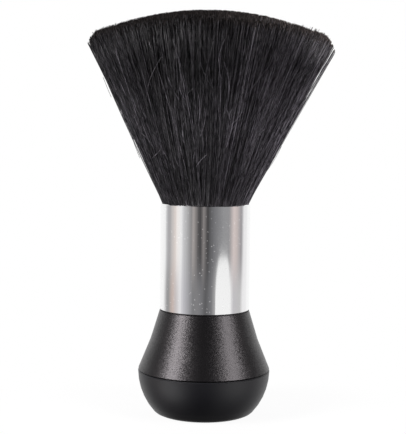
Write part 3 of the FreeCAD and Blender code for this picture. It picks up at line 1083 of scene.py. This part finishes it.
upper_wall = add(studio, "ValToRGB", {"Fac": turned}, wall_stops(WALLS)).outputs["Color"]
lower_wall = add(studio, "ValToRGB", {"Fac": turned}, wall_stops(LOW_WALLS)).outputs["Color"]
downward = {"Value": axes["Z"], "From Min": -0.1, "From Max": -0.145}
low = add(studio, "MapRange", downward, interpolation_type="SMOOTHSTEP").outputs["Result"]
walls = {"Factor": low, "A": upper_wall, "B": lower_wall}
bands = add(studio, "Mix", walls, data_type="RGBA").outputs[2]
print(len(WALLS) + len(LOW_WALLS), "colours round the room")

# %% [markdown]
# ## Ceiling, table and rounded cards
# Above the cards the room is dark in front and white behind. Straight below, the table lies in the
# brush's own shadow. A rounded white card stands low on the right, and further down the table mirrors
# both softboxes. The base shows these three as soft patches of light.

# %% Ceiling and table
backward = {"Value": axes["Y"], "From Min": 0.2, "From Max": 0.9, "To Min": 0.03, "To Max": 1.0}
back = add(studio, "MapRange", backward).outputs["Result"]
upward = {"Value": axes["Z"], "From Min": 0.08, "From Max": 0.25}
above = add(studio, "MapRange", upward, interpolation_type="SMOOTHSTEP").outputs["Result"]
room = add(studio, "Mix", {"Factor": above, "A": bands, "B": back}, data_type="RGBA").outputs[2]

beneath = {"Value": axes["Z"], "From Min": -0.3, "From Max": -0.85, "To Min": 1.0, "To Max": 0.2}
under = add(studio, "MapRange", beneath).outputs["Result"]
lit = add(studio, "VectorMath", {0: room, "Scale": under}, operation="SCALE").outputs[0]

# %% Rounded cards
# Azimuths in degrees, heights as the sine of the elevation, and brightness
CARDS = [
    ((27, 69), (-0.29, -0.105), 0.97),
    ((-84, -40), (-0.66, -0.28), 2.2),
    ((40, 80), (-0.6, -0.3), 1.3),
]


def centred(value, start, end):
    """What a map range node needs to turn a span of values into -1 to 1."""
    return {"Value": value, "From Min": start, "From Max": end, "To Min": -1.0, "To Max": 1.0}


for sides, levels, brightness in CARDS:
    edges = [math.radians(side) for side in sides]
    across = add(studio, "MapRange", centred(azimuth, *edges), clamp=False).outputs["Result"]
    up = add(studio, "MapRange", centred(axes["Z"], *levels), clamp=False).outputs["Result"]
    spot = add(studio, "CombineXYZ", {"X": across, "Y": up}).outputs[0]
    squared = add(studio, "VectorMath", {0: spot, 1: spot}, operation="MULTIPLY").outputs[0]
    reach = add(studio, "VectorMath", {0: squared}, operation="LENGTH").outputs["Value"]
    soft_edge = {"Value": reach, "From Min": 1.05, "From Max": 0.92}
    card = add(studio, "MapRange", soft_edge, interpolation_type="SMOOTHSTEP").outputs["Result"]
    white = (brightness, brightness, brightness, 1.0)
    lit = add(studio, "Mix", {"Factor": card, "A": lit, "B": white}, data_type="RGBA").outputs[2]
print(len(CARDS), "rounded cards")

# %% [markdown]
# ## Backdrop
# The camera sees a plain white backdrop, and so do polished pieces that mirror what stands straight
# behind them.

# %% Backdrop
rays = add(studio, "LightPath").outputs
mirror_rays = {0: rays["Is Glossy Ray"], 1: rays["Is Transmission Ray"]}
mirrored = add(studio, "Math", mirror_rays, operation="MAXIMUM").outputs[0]
far_back = {"Value": axes["Y"], "From Min": 0.62, "From Max": 0.78}
behind = add(studio, "MapRange", far_back, interpolation_type="SMOOTHSTEP").outputs["Result"]
mirrored_back = add(studio, "Math", {0: mirrored, 1: behind}, operation="MULTIPLY").outputs[0]
white_rays = {0: rays["Is Camera Ray"], 1: mirrored_back}
backdrop = add(studio, "Math", white_rays, operation="MAXIMUM").outputs[0]
seen = add(studio, "Mix", {"Factor": backdrop, "A": lit, "B": (1, 1, 1, 1)}, data_type="RGBA").outputs[2]
glow = add(studio, "Background", {"Color": seen, "Strength": 1.0}).outputs["Background"]
add(studio, "OutputWorld", {"Surface": glow})
print("Painted the studio")

# %% [markdown]
# ## Camera
# A long lens from half a metre away, a little below the bristles' tips and looking slightly down. A
# short lens from closer by would make the head bulge towards the viewer. The camera is rolled a little,
# because the brush doesn't stand quite straight.

# %% Camera
CAMERA_SIDE = -0.0010
CAMERA_DISTANCE = 0.45
CAMERA_HEIGHT = 0.1145
CAMERA_PITCH = 3.955
CAMERA_ROLL = 0.6
FILM_HEIGHT = 36.0
LENS_LENGTH = 88.3908

lens = bpy.data.cameras.new("camera")
lens.sensor_fit = "VERTICAL"
lens.sensor_height = FILM_HEIGHT
lens.lens = LENS_LENGTH
lens.clip_start = 0.01
camera = bpy.data.objects.new("camera", lens)
camera.location = (CAMERA_SIDE, -CAMERA_DISTANCE, CAMERA_HEIGHT)
camera.rotation_euler = Euler((math.radians(90 - CAMERA_PITCH), 0, 0))
camera.rotation_euler.rotate_axis("Z", math.radians(CAMERA_ROLL))
bpy.context.scene.collection.objects.link(camera)
bpy.context.scene.camera = camera
bpy.context.scene.view_settings.view_transform = "Standard"
print(f"camera {CAMERA_DISTANCE} m away with a lens of {LENS_LENGTH:.0f} mm")
